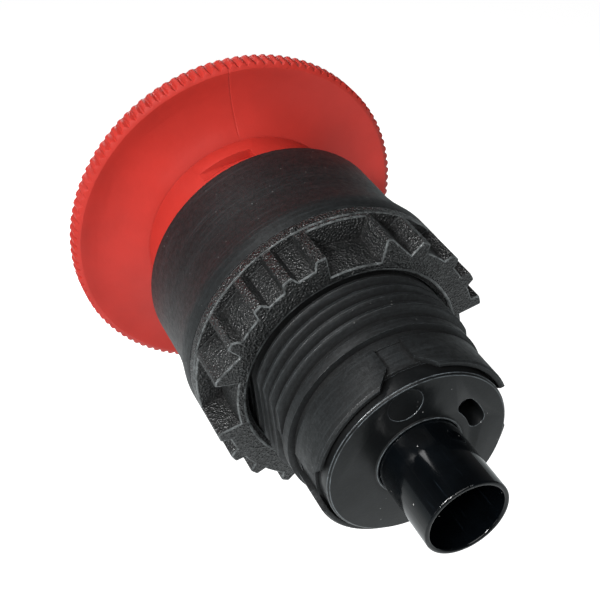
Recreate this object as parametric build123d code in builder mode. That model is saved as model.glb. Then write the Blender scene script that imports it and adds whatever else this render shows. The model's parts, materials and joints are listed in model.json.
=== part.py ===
"""Emergency stop operator for a 22 mm panel hole: a mushroom head that is pushed in and twisted out.

The operator's axis lies along Y. The panel seat is the plane y = 0: the red head is in front of it
(towards -Y), and the barrel, the ring nut and the plunger are behind it (towards +Y). +Z is up.
Angles around the axis are measured from +Z towards +X, so a feature at angle 0 is on top.
"""

from build123d import *
from math import cos, radians, sin
import os

os.makedirs("parts", exist_ok=True)

# ---------------------------------------------------------------- driving dimensions (mm, degrees)

# travel
push_travel = 5.0
twist_angle = 30.0
latch_turn = 30.0

# clearances
running_clearance = 0.06
free_clearance = 0.3
seat_clearance = 0.05

# bezel and panel seat
bezel_radius = 14.2
bezel_length = 14.1
bezel_edge_round = 0.5
seat_radius = 15.0
seat_flange = 1.8
seat_flare_length = 5.2
seat_flare_bend = 0.35
web_front = 5.0
web_rear = 2.6

# mushroom head
head_radius = 20.0
rim_rear = 22.4
rim_width = 2.4
knurl_count = 118
knurl_depth = 0.35
knurl_edge = 0.3
knurl_foot_share = 0.42
knurl_crest_share = 0.16
rim_wall = 1.8
dome_height = 6.4
dome_wall = 1.7
cap_seat_depth = 0.9
back_radius_mid = 15.8
back_rise_mid = 0.0
neck_radius = 12.0
neck_wall = 1.6
neck_front = 21.0
neck_rear = 10.3
neck_groove = 0.3
head_web = 1.6
hub_radius = 5.2
hub_rear = 14.6
neck_slot_front = 18.4
neck_slot_width = 1.6
neck_slot_depth = 1.0
neck_slot_start = 1.0
neck_slot_stop = 31.0

# threaded barrel
thread_radius = 11.0
thread_pitch = 1.5
thread_root_radius = 10.0
thread_start = 1.72
thread_turns = 6.25
thread_embed = 0.2
thread_foot_share = 0.40
thread_shoulder_share = 0.22
thread_shoulder_rise = 0.75
thread_crest_share = 0.10
thread_flat = 10.3
thread_flat_angle = 95.0
barrel_bore = 8.4
collar_radius = 10.5
collar_front = 11.7
collar_rear = 13.25
groove_radius = 9.75
groove_rear = 14.3

# bayonet skirt behind the barrel
skirt_radius = 10.2
skirt_inner = 9.65
skirt_rear = 18.5
inner_barrel_rear = 17.3
skirt_chamfer = 0.2
notch_angle = 7.5
notch_count = 4
notch_half_angle = 7.6
notch_chamfer = 1.6

# rear cover
cover_radius = 9.35
cover_rear = 19.25
cover_edge = 0.2
cover_spigot = 1.0
cover_boss_wall = 1.2
cover_boss_length = 1.8
guide_lip_width = 0.3
guide_lip_rise = 0.15
slot_angle = -59.0
slot_span = 24.0
slot_middle_radius = 6.25
slot_width = 1.7
ejector_radius = 1.75
ejector_middle_radius = 7.25
ejector_angle = 15.2
ejector_depth = 0.05

# plunger
plunger_radius = 4.25
plunger_wall = 0.5
plunger_rear = 27.6
plunger_front = 11.2
plunger_floor = 2.4
plunger_rim_round = 0.22

# spindle and what is on it
spindle_radius = 3.4
journal_radius = 3.0
washer_recess = 1.2
spindle_flange_radius = 6.6
spindle_flange_width = 1.4
tail_radius = 2.2
screw_radius = 1.5
screw_length = 7.0
screw_head_radius = 2.8
screw_head_height = 1.6
screw_head_chamfer = 0.3
screw_drive_radius = 1.2
screw_drive_depth = 1.0
washer_radius = 3.8
washer_width = 0.6
drive_pin_radius = 0.75
drive_pin_reach = 5.0
drive_window_margin = 17.0
clip_radius = 4.9
clip_width = 0.6
clip_groove_depth = 0.4
clip_gap_angle = 70.0

# guide bush and seals
bush_pilot_radius = 5.4
bush_pilot_front = 6.0
bush_flange_rear = 0.7
seal_radius = 4.7
seal_width = 1.3
neck_seal_radius = 13.1
neck_seal_front = 12.6
neck_seal_width = 1.5
seal_lip = 0.3
seal_round = 0.3
gasket_inner = 11.7
gasket_outer = 13.7
gasket_width = 0.9

# latch cam
cam_bore = 6.0
cam_front_gap = 0.3
cam_length = 10.0
cam_pin_radius = 0.9
cam_pin_reach = 7.6
cam_pin_y = 3.2
cam_slot_clearance = 0.2
cam_slot_steps = 10
pin_chamfer = 0.2

# springs: wire radius, coil radius and turns
return_wire = 0.45
return_coil_share = 0.56
return_turns = 5
twist_wire = 0.3
twist_coil = 6.0
twist_turns = 5
latch_wire = 0.35
latch_coil = 7.2
latch_turns = 4

# ring nut and its thrust ring
thrust_width = 1.1
gate_radius = 0.5
gate_rise = 0.25
gate_angle = 15
nut_radius = 15.0
nut_rear = 6.2
nut_spigot = 0.5
nut_spigot_radius = 12.0
nut_bore_clearance = 0.1
nut_bore_chamfer = 0.6
nut_sectors = 4
window_half_angle = 12.2
window_floor = 12.5
window_front = 1.75
pocket_floor = 14.05
pocket_draft = 1.5
pocket_edges = [(16.4, 26.5), (30.5, 40.7), (44.5, 58.0)]
slanted_pocket_start = 61.5
slanted_pocket_floor_angle = 63.8
slanted_pocket_floor = 13.4
slanted_pocket_stop = 75.5

# release arrows on the cap
arrow_count = 2
arrow_radius = 10.5
arrow_width = 1.8
arrow_span = 70.0
arrow_head_width = 4.4
arrow_head_span = 24.0
arrow_inlay = 0.4

# reach of cutting tools past the faces that they cut
overrun = 1.0


# ---------------------------------------------------------------- helpers


def axial_plane(y):
    """A plane across the axis at y: its normal is +Y, its local y is +Z and its local x is -X."""
    return Plane(origin=(0, y, 0), x_dir=(-1, 0, 0), z_dir=(0, 1, 0))


def polar(radius, angle):
    """A point on an axial plane, at an angle measured from +Z towards +X."""
    return (-radius * sin(radians(angle)), radius * cos(radians(angle)))


def around(radius, angle, y):
    """A point in space at a radius, an angle and a place along the axis."""
    return (radius * sin(radians(angle)), y, radius * cos(radians(angle)))


def turn(*outline, mode=Mode.ADD):
    """Turn a closed outline of (radius, y) points about the Y axis, in the open part."""
    with BuildSketch(Plane.XY) as profile:
        with BuildLine():
            Polyline(*outline, close=True)
        make_face()
    revolve(profile.sketch, axis=Axis.Y, mode=mode)


def ring(inner, outer, front, rear, mode=Mode.ADD):
    """A plain ring between two radii and two places along the axis."""
    turn((inner, front), (outer, front), (outer, rear), (inner, rear), mode=mode)


def disc(radius, front, rear, mode=Mode.ADD):
    """A plain disc or shaft between two places along the axis."""
    turn((0, front), (radius, front), (radius, rear), (0, rear), mode=mode)


def radial_pin(radius, reach, angle, y, mode=Mode.ADD):
    """A round pin straight through the axis, reaching the same way out on both sides."""
    outwards = around(1, angle, 0)
    with BuildSketch(Plane(origin=(0, y, 0), z_dir=outwards)) as section:
        Circle(radius)
    extrude(section.sketch, amount=reach, both=True, mode=mode)


def coil(wire, radius, front, rear, turns):
    """A round-wire coil spring whose outer faces lie at front and rear."""
    height = rear - front - 2 * wire
    with BuildLine() as path:
        Helix(height / turns, height, radius, center=(0, front + wire, 0), direction=(0, 1, 0))
    with BuildSketch(Plane(origin=path.line @ 0, z_dir=path.line % 0)) as section:
        Circle(wire)
    sweep(section.sketch, path=path.line, is_frenet=True)


def save(part, name):
    """Label a finished piece and write it to its own file."""
    part.label = name
    export_step(part, f"parts/{name}.step")


# ---------------------------------------------------------------- operator body

neck_bore = neck_radius + free_clearance

# The thread is one helical ridge, cut off on two sides where the mould halves part.
with BuildPart() as thread_ridge:
    thread_height = thread_pitch * thread_turns
    thread_depth = thread_radius - thread_root_radius
    root_inside = thread_root_radius - thread_embed
    shoulder = thread_embed + thread_shoulder_rise * thread_depth
    crest = thread_embed + thread_depth
    with BuildLine():
        thread_path = Helix(
            thread_pitch,
            thread_height,
            root_inside,
            center=(0, thread_start, 0),
            direction=(0, 1, 0),
        )
    thread_out = Vector(*(thread_path @ 0)) - Vector(0, thread_start, 0)
    with BuildSketch(Plane(origin=thread_path @ 0, x_dir=thread_out, z_dir=thread_path % 0)):
        with BuildLine():
            Polyline(
                (0, -thread_foot_share * thread_pitch),
                (shoulder, -thread_shoulder_share * thread_pitch),
                (crest, -thread_crest_share * thread_pitch),
                (crest, thread_crest_share * thread_pitch),
                (shoulder, thread_shoulder_share * thread_pitch),
                (0, thread_foot_share * thread_pitch),
                close=True,
            )
        make_face()
    sweep(path=thread_path, is_frenet=True)
    for side in (0, 180):
        flat_normal = around(1, thread_flat_angle + side, 0)
        flat_origin = around(thread_flat, thread_flat_angle + side, 0)
        with BuildSketch(Plane(origin=flat_origin, z_dir=flat_normal)):
            Rectangle(4 * thread_radius, 4 * thread_radius)
        extrude(amount=overrun, mode=Mode.SUBTRACT)

# The four bayonet notches are cut in the outer layer of the skirt only.
with BuildPart() as skirt_notches:
    for index in range(notch_count):
        angle = notch_angle + index * 360 / notch_count
        outwards = around(1, angle, 0)
        half_width = skirt_radius * sin(radians(notch_half_angle))
        with BuildSketch(Plane(origin=(0, 0, 0), x_dir=(0, 1, 0), z_dir=outwards)):
            with BuildLine():
                Polyline(
                    (groove_rear - overrun, -half_width),
                    (skirt_rear - notch_chamfer, -half_width),
                    (skirt_rear + overrun, -half_width - notch_chamfer - overrun),
                    (skirt_rear + overrun, half_width + notch_chamfer + overrun),
                    (skirt_rear - notch_chamfer, half_width),
                    (groove_rear - overrun, half_width),
                    close=True,
                )
            make_face()
        extrude(amount=skirt_radius + overrun)
    ring(skirt_inner, skirt_radius + overrun, groove_rear, skirt_rear + overrun, mode=Mode.INTERSECT)

flare_radius = bezel_radius + seat_flare_bend * (seat_radius - bezel_radius)

with BuildPart() as operator_body:
    turn(
        (barrel_bore, -web_rear),
        (bush_pilot_radius, -web_rear),
        (bush_pilot_radius, -web_front),
        (neck_bore, -web_front),
        (neck_bore, -bezel_length),
        (bezel_radius - bezel_edge_round, -bezel_length),
        (bezel_radius, -bezel_length + bezel_edge_round),
        (bezel_radius, -seat_flange - seat_flare_length),
        (flare_radius, -seat_flange - seat_flare_length / 2),
        (seat_radius, -seat_flange),
        (seat_radius, 0),
        (thread_root_radius, 0),
        (thread_root_radius, collar_front),
        (collar_radius, collar_front + collar_radius - thread_root_radius),
        (collar_radius, collar_rear),
        (groove_radius, collar_rear),
        (groove_radius, groove_rear),
        (skirt_radius, groove_rear),
        (skirt_radius, skirt_rear - skirt_chamfer),
        (skirt_radius - skirt_chamfer, skirt_rear),
        (skirt_inner, skirt_rear),
        (skirt_inner, inner_barrel_rear),
        (barrel_bore, inner_barrel_rear),
    )
    add(thread_ridge.part)
    add(skirt_notches.part, mode=Mode.SUBTRACT)
    ring(gasket_inner, gasket_outer, -gasket_width, overrun, mode=Mode.SUBTRACT)
    ring(
        neck_bore - overrun,
        neck_seal_radius,
        -neck_seal_front,
        -neck_seal_front + neck_seal_width,
        mode=Mode.SUBTRACT,
    )
save(operator_body.part, "operator_body")

with BuildPart() as panel_gasket:
    ring(gasket_inner, gasket_outer, -gasket_width, -seat_clearance)
save(panel_gasket.part, "panel_gasket")

with BuildPart() as neck_seal:
    seal_middle = (neck_radius + neck_seal_radius) / 2
    seal_centre = -neck_seal_front + neck_seal_width / 2
    turn(
        (neck_radius + running_clearance, seal_centre - seal_lip / 2),
        (seal_middle, -neck_seal_front),
        (neck_seal_radius, -neck_seal_front),
        (neck_seal_radius, -neck_seal_front + neck_seal_width),
        (seal_middle, -neck_seal_front + neck_seal_width),
        (neck_radius + running_clearance, seal_centre + seal_lip / 2),
    )
save(neck_seal.part, "neck_seal")

# ---------------------------------------------------------------- rear cover

with BuildPart() as rear_cover:
    disc(cover_radius, inner_barrel_rear, cover_rear)
    disc(barrel_bore, inner_barrel_rear - cover_spigot, inner_barrel_rear)
    chamfer(edges().filter_by(GeomType.CIRCLE).sort_by(Axis.Y)[-1], cover_edge)
    # A low bevelled lip stands round the plunger.
    lip_radius = plunger_radius + running_clearance + guide_lip_width
    turn(
        (0, inner_barrel_rear),
        (lip_radius, inner_barrel_rear),
        (lip_radius, cover_rear),
        (lip_radius - guide_lip_rise, cover_rear + guide_lip_rise),
        (0, cover_rear + guide_lip_rise),
    )
    boss_radius = plunger_radius + running_clearance + cover_boss_wall
    disc(boss_radius, inner_barrel_rear - cover_boss_length, inner_barrel_rear)
    disc(plunger_radius + running_clearance, plunger_front, cover_rear + overrun, mode=Mode.SUBTRACT)
    with BuildSketch(axial_plane(cover_rear)):
        with BuildLine():
            slot_line = CenterArc(
                (0, 0), slot_middle_radius, 90 + slot_angle - slot_span / 2, slot_span
            )
        SlotArc(slot_line, slot_width)
    extrude(amount=-(cover_rear - inner_barrel_rear + cover_boss_length), mode=Mode.SUBTRACT)
    with BuildSketch(axial_plane(cover_rear)):
        with Locations(polar(ejector_middle_radius, ejector_angle)):
            Circle(ejector_radius)
    extrude(amount=-ejector_depth, mode=Mode.SUBTRACT)
save(rear_cover.part, "rear_cover")

# ---------------------------------------------------------------- guide bush and its seal

spindle_bore = spindle_radius + running_clearance

with BuildPart() as guide_bush:
    turn(
        (spindle_bore, -bush_pilot_front),
        (bush_pilot_radius, -bush_pilot_front),
        (bush_pilot_radius, -web_rear),
        (barrel_bore, -web_rear),
        (barrel_bore, bush_flange_rear),
        (seal_radius, bush_flange_rear),
        (seal_radius, bush_flange_rear - seal_width),
        (spindle_bore, bush_flange_rear - seal_width),
    )
save(guide_bush.part, "guide_bush")

with BuildPart() as spindle_seal:
    ring(spindle_bore, seal_radius, bush_flange_rear - seal_width, bush_flange_rear)
    fillet(edges().filter_by(GeomType.CIRCLE), seal_round)
save(spindle_seal.part, "spindle_seal")

# ---------------------------------------------------------------- spindle, plunger and fasteners

head_floor = rim_rear + rim_width - cap_seat_depth
journal_front = head_floor - washer_recess
flange_front = -hub_rear + free_clearance + 2 * drive_pin_radius
flange_rear = flange_front + spindle_flange_width
clip_front = bush_flange_rear + seat_clearance
clip_groove_radius = spindle_radius - clip_groove_depth
tail_rear = plunger_front + plunger_floor
drive_pin_y = flange_front - drive_pin_radius

with BuildPart() as spindle:
    disc(journal_radius, -journal_front, flange_front)
    disc(spindle_flange_radius, flange_front, flange_rear)
    disc(spindle_radius, flange_rear, plunger_front)
    disc(tail_radius, plunger_front, tail_rear)
    disc(screw_radius, -journal_front, -journal_front + screw_length, mode=Mode.SUBTRACT)
    radial_pin(cam_pin_radius, 2 * spindle_radius, 0, cam_pin_y, mode=Mode.SUBTRACT)
    radial_pin(drive_pin_radius, 2 * journal_radius, 0, drive_pin_y, mode=Mode.SUBTRACT)
    ring(
        clip_groove_radius,
        spindle_radius + overrun,
        clip_front,
        clip_front + clip_width,
        mode=Mode.SUBTRACT,
    )
save(spindle.part, "spindle")

with BuildPart() as cam_pin:
    radial_pin(cam_pin_radius, cam_pin_reach, 0, cam_pin_y)
    chamfer(edges().filter_by(GeomType.CIRCLE), pin_chamfer)
save(cam_pin.part, "cam_pin")

with BuildPart() as drive_pin:
    radial_pin(drive_pin_radius, drive_pin_reach, 0, drive_pin_y)
    chamfer(edges().filter_by(GeomType.CIRCLE), pin_chamfer)
save(drive_pin.part, "drive_pin")

with BuildPart() as retaining_clip:
    ring(clip_groove_radius, clip_radius, clip_front, clip_front + clip_width)
    with BuildSketch(axial_plane(clip_front)):
        with BuildLine():
            Polyline(
                (0, 0),
                polar(2 * clip_radius, -clip_gap_angle / 2),
                polar(2 * clip_radius, clip_gap_angle / 2),
                close=True,
            )
        make_face()
    extrude(amount=clip_width, mode=Mode.SUBTRACT)
save(retaining_clip.part, "retaining_clip")

with BuildPart() as plunger_tube:
    disc(plunger_radius, plunger_front, plunger_rear)
    disc(plunger_radius - plunger_wall, tail_rear, plunger_rear, mode=Mode.SUBTRACT)
    disc(tail_radius, plunger_front, tail_rear, mode=Mode.SUBTRACT)
    rim_edges = edges().filter_by(GeomType.CIRCLE).group_by(Axis.Y)[-1]
    fillet(rim_edges, plunger_rim_round)
save(plunger_tube.part, "plunger_tube")

washer_front = -journal_front - washer_width
screw_head_front = washer_front - screw_head_height

with BuildPart() as head_washer:
    ring(screw_radius, washer_radius, washer_front, -journal_front)
save(head_washer.part, "head_washer")

with BuildPart() as head_screw:
    disc(screw_head_radius, screw_head_front, washer_front)
    chamfer(edges().filter_by(GeomType.CIRCLE).sort_by(Axis.Y)[0], screw_head_chamfer)
    disc(screw_radius, washer_front, -journal_front + screw_length)
    with BuildSketch(axial_plane(screw_head_front)):
        RegularPolygon(screw_drive_radius, 6)
    extrude(amount=screw_drive_depth, mode=Mode.SUBTRACT)
save(head_screw.part, "head_screw")

# ---------------------------------------------------------------- mushroom head

rim_front = rim_rear + rim_width
neck_inner = neck_radius - neck_wall
web_back = -head_floor + head_web
hub_bore = journal_radius + running_clearance
washer_seat = -journal_front + seat_clearance
washer_bore = washer_radius + free_clearance
cap_bore = head_radius - rim_wall
rim_root = head_radius - knurl_depth - knurl_edge

with BuildPart() as mushroom_head:
    # The knurled rim: rounded ribs along the axis, bevelled at both ends.
    with BuildSketch(axial_plane(-rim_front)):
        with BuildLine():
            knurl_outline = []
            knurl_pitch = 360 / knurl_count
            for index in range(knurl_count):
                rib_middle = index * knurl_pitch
                foot = knurl_foot_share * knurl_pitch
                crest = knurl_crest_share * knurl_pitch
                knurl_outline.append(polar(head_radius - knurl_depth, rib_middle - foot))
                knurl_outline.append(polar(head_radius, rib_middle - crest))
                knurl_outline.append(polar(head_radius, rib_middle + crest))
                knurl_outline.append(polar(head_radius - knurl_depth, rib_middle + foot))
            Polyline(*knurl_outline, close=True)
        make_face()
    extrude(amount=rim_width)
    turn(
        (0, -rim_front),
        (head_radius - knurl_edge, -rim_front),
        (head_radius, -rim_front + knurl_edge),
        (head_radius, -rim_rear - knurl_edge),
        (rim_root, -rim_rear),
        (0, -rim_rear),
        mode=Mode.INTERSECT,
    )
    disc(rim_root, -rim_front - overrun, -rim_rear + overrun, mode=Mode.SUBTRACT)
    # The dished back runs from the rim down to the neck in one curve.
    with BuildSketch(Plane.XY):
        with BuildLine():
            Polyline(
                (neck_radius + neck_groove, -neck_front),
                (neck_radius - neck_groove, -neck_front + neck_groove),
                (neck_radius, -neck_front + 2 * neck_groove),
                (neck_radius, -neck_rear),
                (neck_inner, -neck_rear),
                (neck_inner, web_back),
                (hub_radius, web_back),
                (hub_radius, -hub_rear + 2 * drive_pin_radius),
                (hub_bore, -hub_rear + 2 * drive_pin_radius),
                (hub_bore, washer_seat),
                (washer_bore, washer_seat),
                (washer_bore, -head_floor),
                (cap_bore, -head_floor),
                (cap_bore, -rim_front),
                (rim_root, -rim_front),
                (rim_root, -rim_rear),
            )
            ThreePointArc(
                (rim_root, -rim_rear),
                (back_radius_mid, -rim_rear + back_rise_mid),
                (neck_radius + neck_groove, -neck_front),
            )
        make_face()
    revolve(axis=Axis.Y)
    # Two ramps in the neck, each ending in a square step.
    for side in (0, 180):
        with BuildSketch(axial_plane(-neck_slot_front)):
            with BuildLine():
                Polyline(
                    polar(neck_radius - neck_slot_depth, side + neck_slot_start),
                    polar(neck_radius + overrun, side + neck_slot_start),
                    polar(neck_radius + overrun, side + neck_slot_stop),
                    polar(neck_radius, side + neck_slot_stop),
                    close=True,
                )
            make_face()
        extrude(amount=neck_slot_width, mode=Mode.SUBTRACT)
    # Two windows in the end of the hub, in which the drive pin turns from stop to stop.
    for side in (0, 180):
        with BuildSketch(axial_plane(-hub_rear)):
            with BuildLine():
                Polyline(
                    (0, 0),
                    polar(2 * hub_radius, side - twist_angle - drive_window_margin),
                    polar(2 * hub_radius, side - twist_angle / 2),
                    polar(2 * hub_radius, side + drive_window_margin),
                    close=True,
                )
            make_face()
        extrude(amount=2 * drive_pin_radius + overrun, mode=Mode.SUBTRACT)
save(mushroom_head.part, "mushroom_head")


def dome_outline(edge_radius, base, crown):
    """Half of a closed dome outline: a spherical front over a flat base, in (radius, y)."""
    rise = base - crown
    sphere = (edge_radius**2 + rise**2) / (2 * rise)
    middle = edge_radius / 2
    with BuildSketch(Plane.XY) as outline:
        with BuildLine():
            Polyline((0, crown), (0, base), (edge_radius, base))
            ThreePointArc(
                (edge_radius, base),
                (middle, crown + sphere - (sphere**2 - middle**2) ** 0.5),
                (0, crown),
            )
        make_face()
    return outline.sketch


cap_radius = head_radius - knurl_edge
cap_skirt_radius = cap_bore - seat_clearance
dome_crown = -rim_front - dome_height

with BuildPart() as arrow_blanks:
    with BuildSketch(axial_plane(dome_crown - overrun)):
        for index in range(arrow_count):
            tail_angle = index * 360 / arrow_count
            neck_angle = tail_angle + arrow_span - arrow_head_span
            with BuildLine():
                inside = CenterArc(
                    (0, 0), arrow_radius - arrow_width / 2, 90 + tail_angle, arrow_span - arrow_head_span
                )
                outside = CenterArc(
                    (0, 0), arrow_radius + arrow_width / 2, 90 + tail_angle, arrow_span - arrow_head_span
                )
                Line(inside @ 0, outside @ 0)
                Polyline(
                    outside @ 1,
                    polar(arrow_radius + arrow_head_width / 2, neck_angle),
                    polar(arrow_radius, tail_angle + arrow_span),
                    polar(arrow_radius - arrow_head_width / 2, neck_angle),
                    inside @ 1,
                )
            make_face()
    extrude(amount=dome_height + overrun)

with BuildPart() as dome_core:
    inner_crown = dome_crown + arrow_inlay
    revolve(dome_outline(cap_radius, -rim_front + arrow_inlay, inner_crown), axis=Axis.Y)

with BuildPart() as release_arrows:
    revolve(dome_outline(cap_radius, -rim_front, dome_crown), axis=Axis.Y)
    add(dome_core.part, mode=Mode.SUBTRACT)
    add(arrow_blanks.part, mode=Mode.INTERSECT)
save(release_arrows.part, "release_arrows")

with BuildPart() as head_cap:
    revolve(dome_outline(cap_radius, -rim_front, dome_crown), axis=Axis.Y)
    disc(cap_skirt_radius, -rim_front - overrun, -head_floor - seat_clearance)
    hollow = dome_outline(cap_skirt_radius - dome_wall, -rim_front, dome_crown + dome_wall)
    revolve(hollow, axis=Axis.Y, mode=Mode.SUBTRACT)
    disc(
        cap_skirt_radius - dome_wall,
        -rim_front - seat_clearance,
        -head_floor + overrun,
        mode=Mode.SUBTRACT,
    )
    add(release_arrows.part, mode=Mode.SUBTRACT)
save(head_cap.part, "head_cap")

# ---------------------------------------------------------------- latch cam

cam_front = bush_flange_rear + cam_front_gap
cam_rear = cam_front + cam_length

with BuildPart() as latch_cam:
    ring(cam_bore, barrel_bore - running_clearance, cam_front, cam_rear)
    for step in range(cam_slot_steps + 1):
        share = step / cam_slot_steps
        radial_pin(
            cam_pin_radius + cam_slot_clearance,
            barrel_bore + overrun,
            -latch_turn * share,
            cam_pin_y + push_travel * share,
            mode=Mode.SUBTRACT,
        )
save(latch_cam.part, "latch_cam")

# ---------------------------------------------------------------- springs

# The return spring stands between the outside of the twist spring and the inside of the neck.
twist_outside = twist_coil + twist_wire
return_coil = twist_outside + return_coil_share * (neck_inner - twist_outside)

with BuildPart() as return_spring:
    coil(
        return_wire,
        return_coil,
        web_back + seat_clearance,
        -web_front - seat_clearance,
        return_turns,
    )
save(return_spring.part, "return_spring")

with BuildPart() as twist_spring:
    coil(
        twist_wire,
        twist_coil,
        web_back + seat_clearance,
        flange_front - seat_clearance,
        twist_turns,
    )
save(twist_spring.part, "twist_spring")

with BuildPart() as latch_spring:
    coil(
        latch_wire,
        latch_coil,
        cam_rear + seat_clearance,
        inner_barrel_rear - cover_spigot - seat_clearance,
        latch_turns,
    )
save(latch_spring.part, "latch_spring")

# ---------------------------------------------------------------- ring nut

nut_front = seat_clearance + thrust_width + seat_clearance
nut_bore = thread_radius + nut_bore_clearance

with BuildPart() as thrust_ring:
    ring(nut_spigot_radius + running_clearance, nut_radius, seat_clearance, seat_clearance + thrust_width)
    # The stub of the moulding gate stands out of the rim.
    gate_middle = around(nut_radius + gate_rise - gate_radius, gate_angle, seat_clearance + thrust_width / 2)
    with Locations(gate_middle):
        Sphere(gate_radius)
save(thrust_ring.part, "thrust_ring")


def notch(floor, start, stop, draft, front):
    """Cut one gap between ribs, from a place along the axis to the rear, with drafted walls."""
    with BuildSketch(axial_plane(front)) as outline:
        with BuildLine():
            floor_arc = CenterArc((0, 0), floor, 90 + start + draft, stop - start - 2 * draft)
            Polyline(
                floor_arc @ 1,
                polar(nut_radius, stop),
                polar(nut_radius + overrun, stop),
                polar(nut_radius + 2 * overrun, (start + stop) / 2),
                polar(nut_radius + overrun, start),
                polar(nut_radius, start),
                floor_arc @ 0,
            )
        make_face()
    extrude(outline.sketch, amount=nut_rear - front, mode=Mode.SUBTRACT)


with BuildPart() as mounting_nut:
    turn(
        (nut_bore, nut_front - nut_spigot),
        (nut_spigot_radius, nut_front - nut_spigot),
        (nut_spigot_radius, nut_front),
        (nut_radius, nut_front),
        (nut_radius, nut_rear),
        (nut_bore + nut_bore_chamfer, nut_rear),
        (nut_bore, nut_rear - nut_bore_chamfer),
    )
    for sector in range(nut_sectors):
        turned = sector * 360 / nut_sectors
        notch(window_floor, turned - window_half_angle, turned + window_half_angle, 0, window_front)
        for start, stop in pocket_edges:
            notch(pocket_floor, turned + start, turned + stop, pocket_draft, nut_front)
        with BuildSketch(axial_plane(nut_front)):
            with BuildLine():
                Polyline(
                    polar(nut_radius + overrun, turned + slanted_pocket_start),
                    polar(nut_radius, turned + slanted_pocket_start),
                    polar(slanted_pocket_floor, turned + slanted_pocket_floor_angle),
                    polar(nut_radius, turned + slanted_pocket_stop),
                    polar(nut_radius + overrun, turned + slanted_pocket_stop),
                    close=True,
                )
            make_face()
        extrude(amount=nut_rear - nut_front, mode=Mode.SUBTRACT)
save(mounting_nut.part, "mounting_nut")
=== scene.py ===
"""Emergency stop button: finishes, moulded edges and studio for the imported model.

Run as a script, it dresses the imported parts: moulded red plastic on the mushroom head, black
plastics of four different grains behind it, and bare metal, acetal and rubber on the hidden parts.
Lengths are metres. The button's axis is Y, with the head towards -Y and the plunger towards +Y.
"""

import json
from math import cos, radians, sin

import bmesh
import bpy
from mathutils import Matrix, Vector

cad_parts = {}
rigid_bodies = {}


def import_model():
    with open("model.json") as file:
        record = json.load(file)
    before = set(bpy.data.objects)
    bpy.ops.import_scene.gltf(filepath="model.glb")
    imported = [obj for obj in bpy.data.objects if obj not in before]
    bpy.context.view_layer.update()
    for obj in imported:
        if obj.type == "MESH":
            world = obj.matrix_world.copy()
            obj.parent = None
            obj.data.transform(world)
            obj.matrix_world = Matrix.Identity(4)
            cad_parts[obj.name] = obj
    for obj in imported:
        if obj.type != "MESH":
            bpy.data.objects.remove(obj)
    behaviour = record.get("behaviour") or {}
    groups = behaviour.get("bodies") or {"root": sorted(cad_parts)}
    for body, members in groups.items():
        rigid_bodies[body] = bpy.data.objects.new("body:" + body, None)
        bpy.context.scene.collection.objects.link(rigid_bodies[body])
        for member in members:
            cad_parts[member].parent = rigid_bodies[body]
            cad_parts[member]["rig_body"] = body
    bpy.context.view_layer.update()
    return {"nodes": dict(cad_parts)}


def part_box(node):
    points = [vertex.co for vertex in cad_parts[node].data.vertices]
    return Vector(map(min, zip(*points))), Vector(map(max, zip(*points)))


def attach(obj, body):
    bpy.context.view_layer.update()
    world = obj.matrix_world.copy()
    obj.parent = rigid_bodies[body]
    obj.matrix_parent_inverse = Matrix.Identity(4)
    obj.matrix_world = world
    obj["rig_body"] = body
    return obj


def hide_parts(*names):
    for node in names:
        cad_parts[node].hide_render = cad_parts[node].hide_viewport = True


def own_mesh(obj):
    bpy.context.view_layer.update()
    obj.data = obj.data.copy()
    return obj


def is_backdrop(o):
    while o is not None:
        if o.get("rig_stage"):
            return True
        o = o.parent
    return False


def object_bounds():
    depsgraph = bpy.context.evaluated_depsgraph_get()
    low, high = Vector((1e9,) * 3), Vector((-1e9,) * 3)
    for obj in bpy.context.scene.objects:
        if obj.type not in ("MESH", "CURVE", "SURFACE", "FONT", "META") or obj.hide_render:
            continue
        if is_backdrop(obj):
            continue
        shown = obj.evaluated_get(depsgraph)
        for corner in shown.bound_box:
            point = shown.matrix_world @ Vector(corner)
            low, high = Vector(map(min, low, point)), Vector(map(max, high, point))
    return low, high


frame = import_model()

bl_info = {
    "name": "Emergency stop button",
    "version": (1, 0, 0),
    "blender": (4, 5, 0),
    "location": "3D View > Sidebar > Stop Button",
    "description": "Dresses the packed emergency stop button and builds its studio",
    "category": "Object",
}

MM = 0.001
EDGE = 1  # material slot of a moulding's rounded edges, which carry a painted highlight
ROUND_LENGTH = 10 * MM  # what one radian round the axis counts for in a turned pattern
SMOOTH_BELOW = radians(32)  # angle under which faces shade as one surface
FLAT_BELOW = radians(0.6)  # angle under which neighbouring faces become one
MERGE_WITHIN = 0.002 * MM
AXIAL_EDGE = 0.2  # a rounding whose normal leans less than this towards Y runs along the axis
SHELTER_RAYS = 4  # rays with which a finish finds its grooves
FLOOR_SIDE = 3.0
PAPER_TO_CAMERA = (1.0, 1.0, 1.0, 1.0)
PAPER_TO_BUTTON = (0.88, 0.98, 1.0, 1.0)
SKY_FADE = (0.05, 0.55)  # heights between which the horizon turns into the ceiling
# each light's name, its offset from the middle of the button, and its two sides
LIGHTS = (
    ("key", (0.21, 0.10, 0.20), (0.14, 0.03)),
    ("soft", (0.06, 0.20, 0.24), (0.22, 0.22)),
    ("side", (0.31, 0.11, 0.06), (0.10, 0.10)),
    ("top", (0.10, -0.17, 0.25), (0.10, 0.10)),
    ("front", (-0.04, -0.31, 0.0), (0.14, 0.14)),
)

# ------------------------------------------------------------------ settings


def colour_setting(name, description, default):
    """A colour that the panel shows."""
    return bpy.props.FloatVectorProperty(
        name=name, description=description, subtype="COLOR", size=3, default=default, min=0, max=1
    )


def length_setting(name, description, default, **limits):
    """A length that the panel shows in the scene's units."""
    return bpy.props.FloatProperty(
        name=name, description=description, subtype="DISTANCE", unit="LENGTH", default=default, **limits
    )


def power_setting(name, description, default):
    """The power of a light."""
    return bpy.props.FloatProperty(
        name=name, description=description, unit="POWER", default=default, min=0
    )


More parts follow.
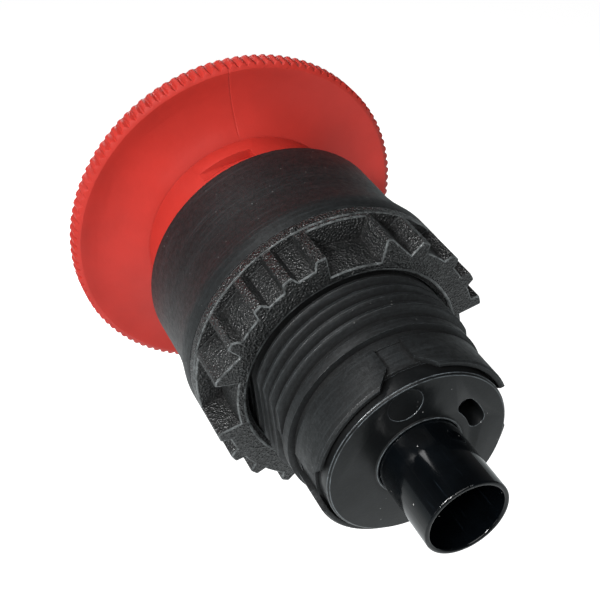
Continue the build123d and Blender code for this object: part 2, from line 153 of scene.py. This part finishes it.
def glow_setting(name, description, default):
    """The strength of a surface or sky that shines by itself."""
    return bpy.props.FloatProperty(name=name, description=description, default=default, min=0)


class StopButtonPlastics(bpy.types.PropertyGroup):
    """Colours of the moulded parts, and how far their edges are rounded."""

    head_red: colour_setting("Head Red", "Colour of the mushroom head and its cap", (0.64, 0.044, 0.032))
    arrow_white: colour_setting(
        "Arrow White",
        "Colour of the two arrows inlaid in the cap",
        (0.86, 0.86, 0.84),
    )
    body_black: colour_setting(
        "Body Black",
        "Colour of the bezel and the threaded barrel",
        (0.0085, 0.0096, 0.0102),
    )
    nut_black: colour_setting(
        "Nut Black",
        "Colour of the ring nut and its thrust ring",
        (0.0078, 0.0084, 0.0085),
    )
    cover_black: colour_setting("Cover Black", "Colour of the rear cover", (0.0065, 0.0074, 0.0080))
    plunger_black: colour_setting(
        "Plunger Black",
        "Colour of the glossy plunger",
        (0.0015, 0.0022, 0.003),
    )
    nut_edge: length_setting(
        "Nut Edge",
        "Radius of the rounded edges of the nut's ribs",
        0.15 * MM,
        min=0.02 * MM,
        max=0.3 * MM,
    )
    body_edge: length_setting(
        "Body Edge",
        "Radius of the rounded edges of the bezel, the thread and the skirt",
        0.08 * MM,
        min=0.02 * MM,
        max=0.2 * MM,
    )
    grain_size: length_setting(
        "Grain Size",
        "Size of one grain of the spark-eroded texture on the nut",
        0.24 * MM,
        min=0.05 * MM,
        max=1.0 * MM,
    )


class StopButtonStudio(bpy.types.PropertyGroup):
    """Where the camera stands, and how the studio is lit."""

    azimuth: bpy.props.FloatProperty(
        name="Azimuth",
        description="Direction that the camera stands in, round the upright axis from -Y",
        subtype="ANGLE",
        unit="ROTATION",
        default=radians(154.57),
    )
    elevation: bpy.props.FloatProperty(
        name="Elevation",
        description="Height of the camera above the horizon",
        subtype="ANGLE",
        unit="ROTATION",
        default=radians(38.66),
    )
    distance: length_setting(
        "Distance", "From the camera to the point that it looks at", 118.55 * MM
    )
    look_at: bpy.props.FloatVectorProperty(
        name="Look At",
        description="Point that the camera looks at, from the middle of the panel seat",
        subtype="TRANSLATION",
        unit="LENGTH",
        size=3,
        default=(0, -6.13 * MM, -0.24 * MM),
    )
    lens: bpy.props.FloatProperty(
        name="Lens",
        description="Focal length in millimetres on a sensor 36 mm wide",
        default=66.0,
        min=20,
        max=200,
    )
    floor_drop: length_setting(
        "Floor Drop", "From the underside of the button down to the floor", 120 * MM
    )
    key_power: power_setting("Key Power", "Power of the narrow main light", 0.76)
    soft_power: power_setting("Soft Power", "Power of the broad light overhead", 0.34)
    side_power: power_setting("Side Power", "Power of the light low on the left", 0.04)
    top_power: power_setting("Top Power", "Power of the light above the head", 0.14)
    front_power: power_setting("Front Power", "Power of the light that faces the head", 0.40)
    horizon_glow: glow_setting(
        "Horizon Glow",
        "Strength of the pale surroundings near the horizon",
        0.09,
    )
    ceiling_glow: glow_setting("Ceiling Glow", "Strength of the dim ceiling overhead", 0.03)
    floor_glow: glow_setting(
        "Floor Glow",
        "Light that the paper floor sends to the camera by itself",
        0.9,
    )
    bounce_glow: glow_setting(
        "Bounce Glow",
        "Light that the paper floor sends to the button by itself",
        0.38,
    )


# ------------------------------------------------------------------ material workshop


class Finish:
    """A procedural material while it is being put together."""

    def __init__(self, name, **constants):
        self.material = bpy.data.materials.new(name)
        self.material.use_nodes = True
        self.tree = self.material.node_tree
        self.shader = self.tree.nodes["Principled BSDF"]
        for socket, value in constants.items():
            self.shader.inputs[socket.replace("_", " ")].default_value = value
        self.place = self.add("ShaderNodeTexCoord").outputs["Object"]

    def add(self, kind, inputs=None, **settings):
        """Add a node with its settings, and link or set its inputs."""
        made = self.tree.nodes.new(kind)
        for key, value in settings.items():
            setattr(made, key, value)
        for key, value in (inputs or {}).items():
            if isinstance(value, bpy.types.NodeSocket):
                self.tree.links.new(value, made.inputs[key])
            else:
                made.inputs[key].default_value = value
        return made

    def wound(self):
        """Distance from the button's axis, place along it, and a length round it."""
        parts = self.add("ShaderNodeSeparateXYZ", {0: self.place})
        x, y, z = (parts.outputs[axis] for axis in "XYZ")
        squares = self.sums("ADD", self.sums("MULTIPLY", x, x), self.sums("MULTIPLY", z, z))
        radius = self.sums("SQRT", squares)
        round_it = self.sums("MULTIPLY", self.sums("ARCTAN2", x, z), ROUND_LENGTH)
        return self.add("ShaderNodeCombineXYZ", {"X": radius, "Y": y, "Z": round_it}).outputs[0]

    def noise(self, size, detail=2.0, roughness=0.5, stretch=None, place=None):
        """Cloudy noise whose patches are about as large as size."""
        place = place or self.place
        if stretch:
            place = self.add("ShaderNodeMapping", {"Vector": place, "Scale": stretch}).outputs[0]
        inputs = {"Vector": place, "Scale": 1 / size, "Detail": detail, "Roughness": roughness}
        return self.add("ShaderNodeTexNoise", inputs).outputs["Fac"]

    def cells(self, size):
        """Distance to the nearest of many scattered points, about size apart."""
        inputs = {"Vector": self.place, "Scale": 1 / size}
        return self.add("ShaderNodeTexVoronoi", inputs).outputs["Distance"]

    def spread(self, value, low, high, to_low=0.0, to_high=1.0):
        """Stretch the range low to high of a value over another range, and hold it there."""
        inputs = {"Value": value, "From Min": low, "From Max": high, "To Min": to_low, "To Max": to_high}
        return self.add("ShaderNodeMapRange", inputs).outputs["Result"]

    def sums(self, operation, first, second=0.0):
        """One step of arithmetic."""
        return self.add("ShaderNodeMath", {0: first, 1: second}, operation=operation).outputs[0]

    def sheltered(self, reach):
        """1 deep in grooves and corners, 0 in the open; the finishes use it to paint shade into their
        colour there.
        """
        shading = self.add("ShaderNodeAmbientOcclusion", {"Distance": reach}, samples=SHELTER_RAYS)
        return self.spread(shading.outputs["AO"], 0.9, 0.45)

    def blend(self, factor, first, second):
        """Blend two colours."""
        made = self.add("ShaderNodeMix", data_type="RGBA")
        for key, value in (("Factor", factor), ("A", first), ("B", second)):
            socket = [s for s in made.inputs if s.name == key and s.enabled][0]
            if isinstance(value, bpy.types.NodeSocket):
                self.tree.links.new(value, socket)
            else:
                socket.default_value = value
        return [s for s in made.outputs if s.enabled][0]

    def raise_bumps(self, *heights):
        """Add bumps one over the other, each a height and its depth in metres."""
        normal = None
        for height, depth in heights:
            inputs = {"Height": height, "Distance": depth, "Strength": 1.0}
            if normal:
                inputs["Normal"] = normal
            normal = self.add("ShaderNodeBump", inputs).outputs["Normal"]
        self.tree.links.new(normal, self.shader.inputs["Normal"])

    def join(self, socket, value):
        """Link a value to one of the shader's sockets."""
        self.tree.links.new(value, self.shader.inputs[socket])


def shade(colour, factor):
    """A colour made lighter or darker, with full opacity."""
    return (*(min(1.0, part * factor) for part in colour), 1.0)


def axis_angle_line(finish, angle, half_width, inner):
    """1 along a line that runs out from the inner radius at an angle from +Z towards +X."""
    parts = finish.add("ShaderNodeSeparateXYZ", {0: finish.place})
    x, z = parts.outputs["X"], parts.outputs["Z"]
    across = finish.sums(
        "SUBTRACT", finish.sums("MULTIPLY", x, cos(angle)), finish.sums("MULTIPLY", z, sin(angle))
    )
    along = finish.sums(
        "ADD", finish.sums("MULTIPLY", x, sin(angle)), finish.sums("MULTIPLY", z, cos(angle))
    )
    line = finish.spread(finish.sums("ABSOLUTE", across), half_width, 0.0)
    return finish.sums("MULTIPLY", line, finish.spread(along, inner, inner + MM / 2))


# ------------------------------------------------------------------ finishes


def red_moulding(name, colour, weld_line=False):
    """Satin red plastic with a faint orange peel and handling marks, and a weld line where asked."""
    red = Finish(name, IOR=1.5, Specular_IOR_Level=0.32)
    cloud = red.noise(6 * MM, detail=3)
    speck = red.noise(0.5 * MM, detail=2)
    base = red.blend(red.spread(cloud, 0.35, 0.65), shade(colour, 0.94), shade(colour, 1.05))
    # painted shade: the red darkens towards 0.45 of its colour in grooves and corners, such as round the
    # neck
    shadowed = red.sums("MULTIPLY", red.sheltered(5 * MM), 0.45)
    red.join("Base Color", red.blend(shadowed, base, shade(colour, 0.45)))
    smears = red.noise(2.2 * MM, detail=4, stretch=(1.0, 0.35, 1.0))
    red.join("Roughness", red.spread(smears, 0.3, 0.7, 0.36, 0.5))
    bumps = [(speck, 0.012 * MM), (red.noise(2.5 * MM, detail=1), 0.03 * MM)]
    if weld_line:
        bumps.append((axis_angle_line(red, radians(1.9), 0.12 * MM, inner=12 * MM), -0.035 * MM))
    red.raise_bumps(*bumps)
    return red.material


def white_inlay(colour):
    """Second-shot white plastic, flush with the cap."""
    white = Finish("arrow_white_plastic", IOR=1.5)
    tint = white.noise(3 * MM)
    base = white.blend(white.spread(tint, 0.3, 0.7), shade(colour, 0.96), shade(colour, 1.0))
    white.join("Base Color", base)
    white.join("Roughness", white.spread(white.noise(1 * MM), 0.3, 0.7, 0.36, 0.5))
    white.raise_bumps((white.noise(0.5 * MM), 0.01 * MM))
    return white.material


def dusted(finish, colour, amount):
    """Scatter a few pale specks of dust over a colour."""
    specks = finish.spread(finish.cells(1.1 * MM), 0.08, 0.05)
    chosen = finish.spread(finish.noise(0.8 * MM, detail=0), 0.52, 0.58)
    specks = finish.sums("MULTIPLY", finish.sums("MULTIPLY", specks, chosen), amount)
    return finish.blend(specks, colour, (0.45, 0.45, 0.44, 1.0))


def black_moulding(
    name, colour, cloud, grain, depth, roughness, dust, contrast, streaks=0.0, gloss=0.5
):
    """Black plastic: cloudy satin over a moulded grain, with rubbed streaks and a little dust."""
    black = Finish(name, IOR=1.5, Specular_IOR_Level=gloss)
    clouds = black.noise(cloud, detail=4, roughness=0.6)
    grains = black.noise(grain, detail=3, roughness=0.6)
    dark, pale = shade(colour, 1 - 0.5 * contrast), shade(colour, 1 + 1.1 * contrast)
    mottled = black.blend(black.spread(clouds, 0.35, 0.68), dark, pale)
    crests = black.sums("MULTIPLY", black.spread(grains, 0.5, 0.72), 0.6)
    mottled = black.blend(crests, mottled, shade(colour, 1 + 3 * contrast))
    rub_and_sheen_noise = black.noise(0.7 * MM, detail=5, roughness=0.75, stretch=(2.2, 2.2, 0.12), place=black.wound())
    if streaks:
        rubbed = black.sums("MULTIPLY", black.spread(rub_and_sheen_noise, 0.5, 0.75), streaks)
        mottled = black.blend(rubbed, mottled, shade(colour, 5.0))
    mottled = dusted(black, mottled, dust)
    # painted shade: the colour darkens to 0.15 of itself deep in grooves and corners, where the
    # roughness also rises
    painted_groove_shade = black.sheltered(0.8 * MM)
    black.join("Base Color", black.blend(painted_groove_shade, mottled, shade(colour, 0.15)))
    low, high = roughness
    open_roughness = black.spread(clouds, 0.3, 0.7, high, low)
    black.join("Roughness", black.sums("ADD", open_roughness, black.sums("MULTIPLY", painted_groove_shade, 0.4)))
    black.raise_bumps((grains, depth), (clouds, depth), (rub_and_sheen_noise, 0.4 * depth))
    return black.material


def eroded_moulding(name, colour, grain, depth):
    """Black plastic with the coarse spark-eroded grain of the nut, its crests paler than its pits as
    painted highlight and painted shade, with patches of painted glints and painted shade in grooves and
    corners.
    """
    black = Finish(name, IOR=1.5, Specular_IOR_Level=0.8)
    pits = black.cells(grain)
    specks = black.noise(0.8 * grain, detail=2, roughness=0.6)
    clouds = black.noise(1.3 * MM, detail=4, roughness=0.65)
    # painted highlight and shade on the grain: crests at 1.6 and pits at 0.15 of the colour
    tint = black.blend(black.spread(pits, 0.2, 0.7), shade(colour, 0.15), shade(colour, 1.6))
    # painted glints: pale specks at 6.5 times the colour, gathered in patches
    patches = black.spread(clouds, 0.42, 0.62, 0.2, 0.9)
    painted_glints = black.sums("MULTIPLY", black.spread(specks, 0.52, 0.62), patches)
    tint = black.blend(painted_glints, tint, shade(colour, 6.5))
    # painted shade: the colour darkens to 0.1 of itself deep in grooves and corners, where the roughness
    # also rises
    painted_groove_shade = black.sheltered(1.2 * MM)
    black.join("Base Color", black.blend(painted_groove_shade, tint, shade(colour, 0.1)))
    crests = black.spread(pits, 0.2, 0.7, 0.55, 0.24)
    black.join("Roughness", black.sums("ADD", crests, black.sums("MULTIPLY", painted_groove_shade, 0.4)))
    black.raise_bumps((pits, depth), (specks, 0.4 * depth))
    return black.material


def painted_edge_highlights(name, colour, paler, grain):
    """Shiny roundings of a black moulding's edges, their colour a painted highlight paler times as light
    as its faces, patchy along them.
    """
    edge = Finish(name, IOR=1.5, Specular_IOR_Level=0.7)
    rub_and_sheen_noise = edge.noise(3 * grain, detail=4, roughness=0.7)
    # painted highlight: the edge colour runs from 0.3 to 1.6 times paler times the face colour, patchy
    # along the edge
    dark, pale = shade(colour, 0.3 * paler), shade(colour, 1.6 * paler)
    tint = edge.blend(edge.spread(rub_and_sheen_noise, 0.38, 0.62), dark, pale)
    edge.join("Base Color", tint)
    edge.join("Roughness", edge.spread(rub_and_sheen_noise, 0.38, 0.62, 0.36, 0.2))
    edge.raise_bumps((rub_and_sheen_noise, 0.05 * MM))
    return edge.material


def glossy_black(colour, radius):
    """Polished black plastic with fine mould lines along it, hairline scuffs and bits of dust."""
    gloss = Finish(
        "plunger_gloss_black", IOR=1.5, Specular_IOR_Level=0.4, Coat_Weight=0.1, Coat_Roughness=0.05
    )
    clouds = gloss.noise(2.5 * MM, detail=3)
    base = gloss.blend(gloss.spread(clouds, 0.35, 0.7), shade(colour, 0.7), shade(colour, 1.6))
    hairs = gloss.noise(0.22 * MM, detail=2, roughness=0.6, stretch=(1.0, 0.05, 1.0))
    scratched = gloss.sums("MULTIPLY", gloss.spread(hairs, 0.66, 0.74), 0.35)
    base = gloss.blend(scratched, base, shade(colour, 12.0))
    gloss.join("Base Color", dusted(gloss, base, 0.9))
    scuffs = gloss.noise(0.7 * MM, detail=4, roughness=0.7, stretch=(1.0, 0.08, 1.0))
    gloss.join("Roughness", gloss.spread(scuffs, 0.35, 0.75, 0.07, 0.2))
    seam = axis_angle_line(gloss, radians(2), 0.07 * MM, inner=0.9 * radius)
    other = axis_angle_line(gloss, radians(46), 0.07 * MM, inner=0.9 * radius)
    ripple = gloss.noise(3 * MM, detail=1, stretch=(1.0, 0.3, 1.0))
    gloss.raise_bumps((seam, 0.02 * MM), (other, 0.02 * MM), (ripple, 0.03 * MM))
    return gloss.material


def acetal(colour=(0.80, 0.79, 0.74)):
    """Natural acetal, waxy and slightly translucent to the eye."""
    wax = Finish("natural_acetal", IOR=1.48, Subsurface_Weight=0.05)
    tint = wax.noise(4 * MM)
    base = wax.blend(wax.spread(tint, 0.3, 0.7), shade(colour, 0.93), shade(colour, 1.0))
    wax.join("Base Color", base)
    wax.join("Roughness", wax.spread(wax.noise(1 * MM), 0.3, 0.7, 0.35, 0.5))
    wax.raise_bumps((wax.noise(0.4 * MM), 0.01 * MM))
    return wax.material


def rubber(colour=(0.020, 0.020, 0.021)):
    """Matt black moulded rubber."""
    dull = Finish("seal_rubber", IOR=1.5, Sheen_Weight=0.1)
    tint = dull.noise(1.5 * MM, detail=4)
    base = dull.blend(dull.spread(tint, 0.3, 0.7), shade(colour, 0.8), shade(colour, 1.4))
    dull.join("Base Color", base)
    dull.join("Roughness", dull.spread(tint, 0.3, 0.7, 0.65, 0.8))
    dull.raise_bumps((dull.noise(0.25 * MM), 0.02 * MM))
    return dull.material


def bare_steel(name, colour, streak):
    """Turned or drawn steel, with fine marks that run along or round it."""
    steel = Finish(name, Metallic=1.0)
    marks = steel.noise(0.3 * MM, detail=4, stretch=streak)
    steel.join("Base Color", steel.blend(marks, shade(colour, 0.85), shade(colour, 1.08)))
    steel.join("Roughness", steel.spread(marks, 0.3, 0.7, 0.22, 0.38))
    steel.raise_bumps((marks, 0.004 * MM))
    return steel.material


# ------------------------------------------------------------------ mesh workshop


def only_select(piece):
    """Make one object the only selected one, and active."""
    if bpy.context.object and bpy.context.object.mode != "OBJECT":
        bpy.ops.object.mode_set(mode="OBJECT")
    bpy.ops.object.select_all(action="DESELECT")
    piece.select_set(True)
    bpy.context.view_layer.objects.active = piece


def paint(piece, material):
    """Give a whole piece one material."""
    piece.data.materials.clear()
    piece.data.materials.append(material)


def weigh_outer_edges(piece):
    """Give full bevel weight to the sharp edges that stick out, and none to inner corners."""
    mesh = bmesh.new()
    mesh.from_mesh(piece.data)
    weight = mesh.edges.layers.float.new("bevel_weight_edge")
    for edge in mesh.edges:
        edge[weight] = 1.0 if edge.calc_face_angle_signed(0.0) > SMOOTH_BELOW else 0.0
    mesh.to_mesh(piece.data)
    mesh.free()


def keep_round_strips(piece):
    """Leave the painted edge highlight only on the roundings that run round the button's axis."""
    for face in piece.data.polygons:
        if abs(face.normal.y) < AXIAL_EDGE:
            face.material_index = 0


def joined_copy(node, name):
    """A new piece with a CAD node's shape, its faces joined up, in that node's place."""
    source = frame["nodes"][node]
    piece = bpy.data.objects.new(name, source.data.copy())
    bpy.context.scene.collection.objects.link(piece)
    only_select(piece)
    bpy.ops.mesh.customdata_custom_splitnormals_clear()
    bpy.ops.object.mode_set(mode="EDIT")
    bpy.ops.mesh.select_all(action="SELECT")
    bpy.ops.mesh.remove_doubles(threshold=MERGE_WITHIN)
    bpy.ops.object.mode_set(mode="OBJECT")
    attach(piece, source["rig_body"])
    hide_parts(node)
    return piece


def moulded_copy(node, name, material, width, edge_highlight_material=None):
    """A joined copy of a CAD node, whose sharp edges are rounded as a mould leaves them."""
    piece = joined_copy(node, name)
    bpy.ops.object.mode_set(mode="EDIT")
    bpy.ops.mesh.select_all(action="SELECT")
    bpy.ops.mesh.dissolve_limited(angle_limit=FLAT_BELOW)
    bpy.ops.object.mode_set(mode="OBJECT")
    weigh_outer_edges(piece)
    rounding = piece.modifiers.new("rounded_edges", "BEVEL")
    rounding.width = width
    rounding.segments = 2
    rounding.limit_method = "WEIGHT"
    rounding.miter_outer = "MITER_ARC"
    paint(piece, material)
    # the edge highlight material paints a highlight on the rounded edges
    if edge_highlight_material:
        piece.data.materials.append(edge_highlight_material)
        rounding.material = EDGE
    bpy.ops.object.modifier_apply(modifier=rounding.name)
    if edge_highlight_material:
        keep_round_strips(piece)
    bpy.ops.object.shade_smooth_by_angle(angle=SMOOTH_BELOW)
    return piece


# ------------------------------------------------------------------ operators


class STOP_BUTTON_OT_head(bpy.types.Operator):
    """Finish the mushroom head, its cap and the arrows in the cap"""

    bl_idname = "stop_button.head"
    bl_label = "Mushroom Head"

    def execute(self, context):
        plastics = context.scene.stop_button_plastics
        head_red = red_moulding("head_red_plastic", plastics.head_red, weld_line=True)
        cap_red = red_moulding("cap_red_plastic", plastics.head_red)
        moulded_copy("mushroom_head", "head_moulding", head_red, plastics.body_edge)
        moulded_copy("head_cap", "cap_moulding", cap_red, plastics.body_edge)
        paint(frame["nodes"]["release_arrows"], white_inlay(plastics.arrow_white))
        return {"FINISHED"}


class STOP_BUTTON_OT_body(bpy.types.Operator):
    """Finish the bezel, threaded barrel and skirt, which are one moulding"""

    bl_idname = "stop_button.body"
    bl_label = "Body Moulding"

    def execute(self, context):
        plastics = context.scene.stop_button_plastics
        black = black_moulding(
            "body_black_plastic",
            plastics.body_black,
            cloud=0.55 * MM,
            grain=0.26 * MM,
            depth=0.03 * MM,
            roughness=(0.42, 0.56),
            dust=0.4,
            contrast=0.7,
            streaks=0.7,
        )
        # painted highlight on the rounded edges, 13 times as light as the body's black
        edges = painted_edge_highlights("body_edge_plastic", plastics.body_black, 13.0, plastics.grain_size)
        moulded_copy("operator_body", "body_moulding", black, plastics.body_edge, edges)
        return {"FINISHED"}


class STOP_BUTTON_OT_nut(bpy.types.Operator):
    """Round and finish the ring nut and the thrust ring in front of it"""

    bl_idname = "stop_button.nut"
    bl_label = "Ring Nut"

    def execute(self, context):
        plastics = context.scene.stop_button_plastics
        grained = eroded_moulding(
            "nut_black_plastic",
            plastics.nut_black,
            grain=plastics.grain_size,
            depth=0.16 * MM,
        )
        # painted highlight on the rounded edges, 16 times as light as the nut's black
        edges = painted_edge_highlights("nut_edge_plastic", plastics.nut_black, 16.0, plastics.grain_size)
        moulded_copy("mounting_nut", "ring_nut", grained, plastics.nut_edge, edges)
        moulded_copy("thrust_ring", "nut_thrust_ring", grained, plastics.nut_edge, edges)
        return {"FINISHED"}


class STOP_BUTTON_OT_cover(bpy.types.Operator):
    """Finish the rear cover"""

    bl_idname = "stop_button.cover"
    bl_label = "Rear Cover"

    def execute(self, context):
        plastics = context.scene.stop_button_plastics
        black = black_moulding(
            "cover_black_plastic",
            plastics.cover_black,
            cloud=2.5 * MM,
            grain=0.2 * MM,
            depth=0.010 * MM,
            roughness=(0.30, 0.38),
            dust=0.8,
            contrast=0.3,
            gloss=0.36,
        )
        # painted highlight on the rounded edges, 14 times as light as the cover's black
        edges = painted_edge_highlights("cover_edge_plastic", plastics.cover_black, 14.0, plastics.grain_size)
        moulded_copy("rear_cover", "back_cover", black, 1.6 * plastics.body_edge, edges)
        return {"FINISHED"}


class STOP_BUTTON_OT_plunger(bpy.types.Operator):
    """Finish the glossy plunger"""

    bl_idname = "stop_button.plunger"
    bl_label = "Plunger"

    def execute(self, context):
        plastics = context.scene.stop_button_plastics
        low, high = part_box("plunger_tube")
        gloss = glossy_black(plastics.plunger_black, (high.x - low.x) / 2)
        # painted highlight on the rounded edges, 30 times as light as the plunger's black
        edges = painted_edge_highlights("plunger_edge_plastic", plastics.plunger_black, 30.0, plastics.grain_size)
        moulded_copy("plunger_tube", "plunger_moulding", gloss, 1.4 * plastics.body_edge, edges)
        return {"FINISHED"}


class STOP_BUTTON_OT_inside(bpy.types.Operator):
    """Finish the parts inside: bush, spindle, cam, seals, pins and springs"""

    bl_idname = "stop_button.inside"
    bl_label = "Parts Inside"

    def execute(self, context):
        wax = acetal()
        seal = rubber()
        turned = bare_steel("turned_steel", (0.58, 0.59, 0.60), (1.0, 6.0, 1.0))
        drawn = bare_steel("drawn_spring_steel", (0.62, 0.63, 0.65), (1.0, 1.0, 1.0))
        kits = (
            (wax, ("guide_bush", "spindle", "latch_cam")),
            (seal, ("panel_gasket", "neck_seal", "spindle_seal")),
            (turned, ("cam_pin", "drive_pin", "retaining_clip", "head_screw", "head_washer")),
            (drawn, ("twist_spring", "latch_spring")),
        )
        for material, nodes in kits:
            for node in nodes:
                paint(frame["nodes"][node], material)
        self.pressed_spring(drawn)
        return {"FINISHED"}

    @staticmethod
    def pressed_spring(steel):
        """A joined copy of the return spring, with a mesh of its own. The real spring shortens towards
        its rear end as the head goes in.
        """
        spring = joined_copy("return_spring", "head_return_spring")
        paint(spring, steel)
        bpy.ops.object.shade_smooth_by_angle(angle=SMOOTH_BELOW)
        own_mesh(spring)


class STOP_BUTTON_OT_stage(bpy.types.Operator):
    """Build the floor, the lights and the camera"""

    bl_idname = "stop_button.stage"
    bl_label = "Studio"

    def execute(self, context):
        studio = context.scene.stop_button_studio
        low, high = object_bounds()
        middle = (low + high) / 2
        floor_height = low.z - studio.floor_drop
        bpy.ops.object.select_all(action="DESELECT")
        bpy.ops.mesh.primitive_plane_add(size=FLOOR_SIDE, location=(0, 0, floor_height))
        floor = bpy.context.object
        floor.name = "studio_floor"
        paper = Finish("studio_paper", Roughness=0.9)
        seen = paper.add("ShaderNodeLightPath").outputs["Is Camera Ray"]
        glow = paper.spread(seen, 0.0, 1.0, studio.bounce_glow, studio.floor_glow)
        paper.join("Emission Color", paper.blend(seen, PAPER_TO_BUTTON, PAPER_TO_CAMERA))
        paper.join("Emission Strength", glow)
        tint = paper.noise(40 * MM, detail=2)
        paper.join("Base Color", paper.blend(tint, (0.60, 0.60, 0.60, 1.0), (0.63, 0.63, 0.63, 1.0)))
        paint(floor, paper.material)
        floor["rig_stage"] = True

        for name, offset, sides in LIGHTS:
            self.light(f"{name}_light", middle, offset, sides, getattr(studio, f"{name}_power"))
        context.scene.world = self.surroundings(studio)
        context.scene.view_settings.view_transform = "Standard"

        aim = Vector(studio.look_at)
        back = Vector(
            (
                sin(studio.azimuth) * cos(studio.elevation),
                -cos(studio.azimuth) * cos(studio.elevation),
                sin(studio.elevation),
            )
        )
        lens = bpy.data.cameras.new("studio_camera")
        lens.lens = studio.lens
        lens.clip_start = studio.distance / 20
        lens.clip_end = 20 * studio.distance
        camera = bpy.data.objects.new("studio_camera", lens)
        camera.location = aim + back * studio.distance
        camera.rotation_euler = (-back).to_track_quat("-Z", "Y").to_euler()
        context.scene.collection.objects.link(camera)
        context.scene.camera = camera
        return {"FINISHED"}

    @staticmethod
    def surroundings(studio):
        """A pale horizon under a dim ceiling, which the camera itself sees as plain white."""
        world = bpy.data.worlds.new("studio_surroundings")
        world.use_nodes = True
        tree = world.node_tree
        sky = tree.nodes["Background"]
        sky.inputs["Color"].default_value = (1.0, 1.0, 1.0, 1.0)
        ways = tree.nodes.new("ShaderNodeTexCoord")
        parts = tree.nodes.new("ShaderNodeSeparateXYZ")
        fade = tree.nodes.new("ShaderNodeMapRange")
        fade.inputs["From Min"].default_value, fade.inputs["From Max"].default_value = SKY_FADE
        fade.inputs["To Min"].default_value = studio.horizon_glow
        fade.inputs["To Max"].default_value = studio.ceiling_glow
        tree.links.new(ways.outputs["Generated"], parts.inputs[0])
        tree.links.new(parts.outputs["Z"], fade.inputs["Value"])
        seen = tree.nodes.new("ShaderNodeLightPath")
        brighter = tree.nodes.new("ShaderNodeMath")
        brighter.operation = "MAXIMUM"
        tree.links.new(fade.outputs["Result"], brighter.inputs[0])
        tree.links.new(seen.outputs["Is Camera Ray"], brighter.inputs[1])
        tree.links.new(brighter.outputs[0], sky.inputs["Strength"])
        return world

    @staticmethod
    def light(name, middle, offset, size, power):
        """Hang a soft oblong light at an offset from the button, facing it."""
        lamp = bpy.data.lights.new(name, "AREA")
        lamp.shape = "RECTANGLE"
        lamp.size, lamp.size_y = size
        lamp.energy = power
        holder = bpy.data.objects.new(name, lamp)
        holder.location = middle + Vector(offset)
        holder.rotation_euler = (-Vector(offset)).to_track_quat("-Z", "Y").to_euler()
        bpy.context.scene.collection.objects.link(holder)


class STOP_BUTTON_PT_panel(bpy.types.Panel):
    """Builds the emergency stop button piece by piece"""

    bl_idname = "STOP_BUTTON_PT_panel"
    bl_label = "Emergency Stop Button"
    bl_space_type = "VIEW_3D"
    bl_region_type = "UI"
    bl_category = "Stop Button"

    def draw(self, context):
        layout = self.layout
        for settings in (context.scene.stop_button_plastics, context.scene.stop_button_studio):
            box = layout.box()
            for name in settings.__annotations__:
                box.prop(settings, name)
        for step in STEPS:
            layout.operator(step.bl_idname)


STEPS = (
    STOP_BUTTON_OT_head,
    STOP_BUTTON_OT_body,
    STOP_BUTTON_OT_nut,
    STOP_BUTTON_OT_cover,
    STOP_BUTTON_OT_plunger,
    STOP_BUTTON_OT_inside,
    STOP_BUTTON_OT_stage,
)
CLASSES = (StopButtonPlastics, StopButtonStudio, *STEPS, STOP_BUTTON_PT_panel)


def register():
    for cls in CLASSES:
        bpy.utils.register_class(cls)
    scene = bpy.types.Scene
    scene.stop_button_plastics = bpy.props.PointerProperty(type=StopButtonPlastics)
    scene.stop_button_studio = bpy.props.PointerProperty(type=StopButtonStudio)


def unregister():
    del bpy.types.Scene.stop_button_studio
    del bpy.types.Scene.stop_button_plastics
    for cls in reversed(CLASSES):
        bpy.utils.unregister_class(cls)


def main():
    register()
    for step in STEPS:
        family, name = step.bl_idname.split(".")
        getattr(getattr(bpy.ops, family), name)()


if __name__ == "__main__":
    main()
